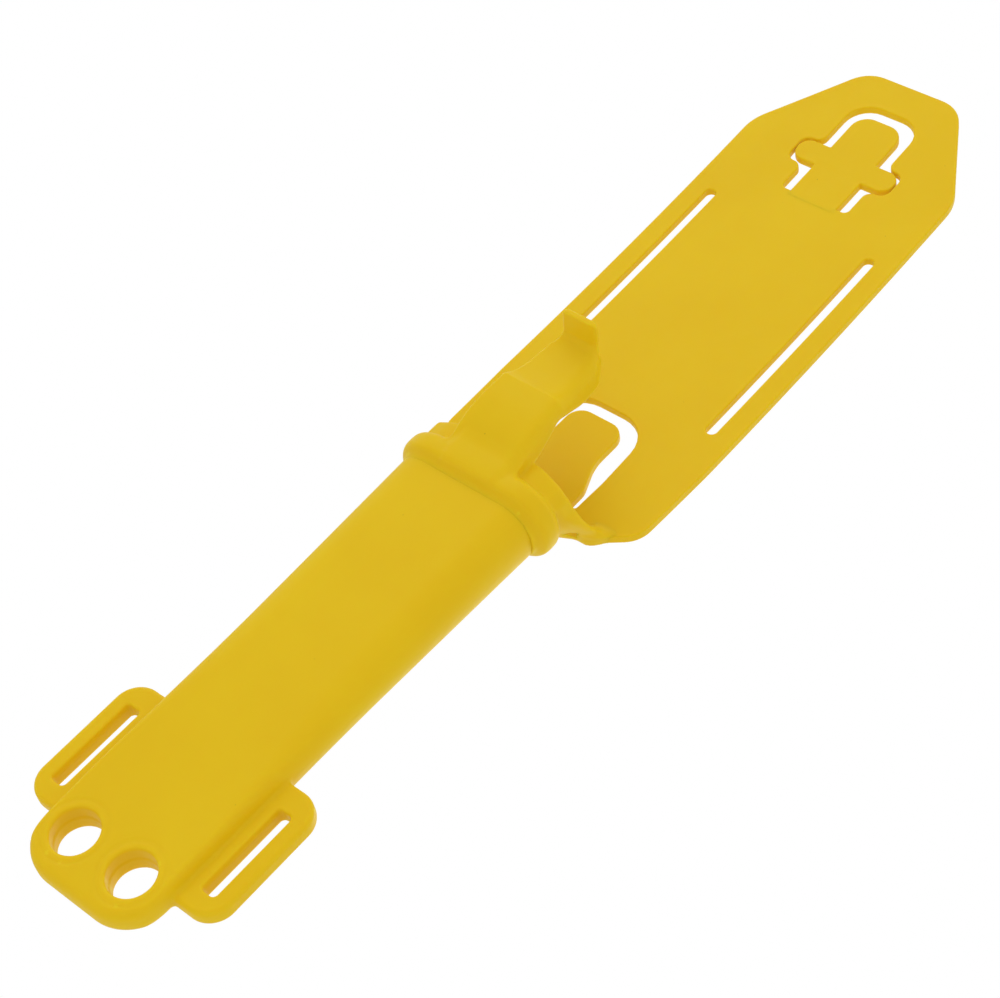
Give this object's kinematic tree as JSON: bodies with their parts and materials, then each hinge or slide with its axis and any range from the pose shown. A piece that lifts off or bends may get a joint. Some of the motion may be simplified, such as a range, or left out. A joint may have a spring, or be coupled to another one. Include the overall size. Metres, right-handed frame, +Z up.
{
  "type": "knife sheath",
  "caption": "Moulded plastic knife sheath with a fold-over belt plate, spring tongues that grip the handle, and side loops for a leg strap.",
  "frame": {"origin": "middle of the belt that carries the sheath, which is the centre line of the closed fold behind the belt plate", "axes": "+Z up along the sheath, away from its tip; the front with the gripping tongue faces -Y; +X to the right seen from the front"},
  "size_m": [0.062, 0.0363, 0.2977],
  "materials": {
    "sheath_plastic": "satin yellow polyethylene, slightly translucent"
  },
  "bodies": {
    "sheath": {"pocket_front_shell": "sheath_plastic", "pocket_back_shell": "sheath_plastic", "tip_plate": "sheath_plastic", "left_strap_loop": "sheath_plastic", "right_strap_loop": "sheath_plastic", "throat_bead": "sheath_plastic", "mouth_collar": "sheath_plastic", "belt_panel_lower": "sheath_plastic"},
    "front_tongue": {"retaining_tongue": "sheath_plastic"},
    "back_tongue": {"rear_tongue": "sheath_plastic"},
    "flap": {"belt_panel_upper": "sheath_plastic"},
    "tab": {"lock_tab": "sheath_plastic"}
  },
  "joints": [
    {"name": "front_tongue_flex", "type": "hinge", "parent": "sheath", "child": "front_tongue", "pos_m": [0, -0.02812, -0.08065], "axis": [1, 0, 0], "range_deg": [-3, 16], "stiffness_Nm_per_rad": 0.8},
    {"name": "back_tongue_flex", "type": "hinge", "parent": "sheath", "child": "back_tongue", "pos_m": [0, -0.005, -0.06795], "axis": [1, 0, 0], "range_deg": [-4, 8], "stiffness_Nm_per_rad": 0.4},
    {"name": "belt_fold", "type": "hinge", "parent": "sheath", "child": "flap", "pos_m": [0, 0, 0], "axis": [-1, 0, 0], "range_deg": [0, 178], "stiffness_Nm_per_rad": 0.05},
    {"name": "lock_tab_flex", "type": "hinge", "parent": "flap", "child": "tab", "pos_m": [0, -0.00744, 0.04108], "axis": [1, 0, 0], "range_deg": [-10, 12], "stiffness_Nm_per_rad": 0.3}
  ]
}
